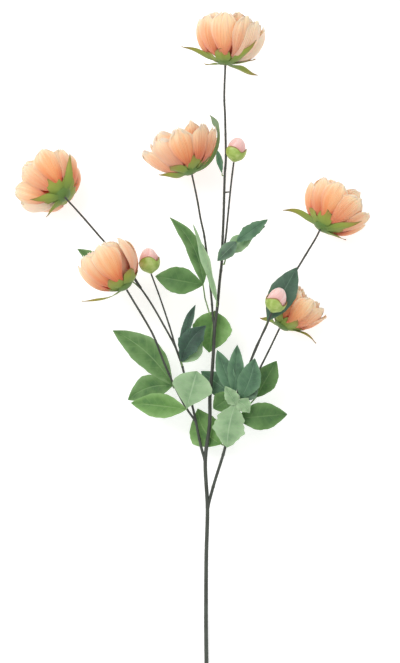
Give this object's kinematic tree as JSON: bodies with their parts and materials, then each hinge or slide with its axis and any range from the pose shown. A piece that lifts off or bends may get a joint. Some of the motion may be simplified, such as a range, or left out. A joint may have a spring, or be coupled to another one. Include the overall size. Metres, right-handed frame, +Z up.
{
  "type": "branching peony spray",
  "caption": "Branching peony spray laid on a surface: a forked, dark stem with open coral blooms, pink buds and green compound leaves.",
  "frame": {"origin": "centre of the spray's box, on the surface that it lies on", "axes": "+Y along the stem from the cut end to the top bloom, +X to the right with the top bloom pointing away, +Z up from the surface"},
  "size_m": [0.4914, 0.8949, 0.1333],
  "materials": {
    "stem": "matt bark, dark grey-green",
    "petals": "soft pleated fabric, coral to peach with a cream rim",
    "sepals": "matt, yellow-green with brown tips",
    "stamens": "matt, golden yellow",
    "bud_petals": "soft, pale pink",
    "bud_cups": "matt, lime green with a brown rim",
    "leaf": "matt, fresh green with paler veins",
    "dark_leaf": "matt, dark blue-green",
    "pale_leaf": "matt, mint green underside"
  },
  "bodies": {
    "root": {"stem": "stem", "top_bloom_petals": "petals", "top_bloom_calyx": "sepals", "top_bloom_stamens": "stamens", "centre_bloom_petals": "petals", "centre_bloom_calyx": "sepals", "centre_bloom_stamens": "stamens", "far_left_bloom_petals": "petals", "far_left_bloom_calyx": "sepals", "far_left_bloom_stamens": "stamens", "left_bloom_petals": "petals", "left_bloom_calyx": "sepals", "left_bloom_stamens": "stamens", "far_right_bloom_petals": "petals", "far_right_bloom_calyx": "sepals", "far_right_bloom_stamens": "stamens", "right_bloom_petals": "petals", "right_bloom_calyx": "sepals", "right_bloom_stamens": "stamens", "top_bud_petals": "bud_petals", "top_bud_calyx": "bud_cups", "left_bud_petals": "bud_petals", "left_bud_calyx": "bud_cups", "right_bud_petals": "bud_petals", "right_bud_calyx": "bud_cups", "leaf_upper_left": "leaf", "leaf_slim": "pale_leaf", "leaf_upper_right": "dark_leaf", "leaf_inner_left": "dark_leaf", "leaf_left": "leaf", "leaf_fan": "leaf", "leaf_inner_right": "dark_leaf", "leaf_outer_right": "leaf", "leaf_bent": "pale_leaf", "leaf_lower_right": "leaf", "leaf_lowest": "leaf", "leaf_at_fork": "leaf", "leaf_right_bud": "dark_leaf", "leaf_behind_left": "leaf", "bract": "leaf"}
  },
  "joints": []
}
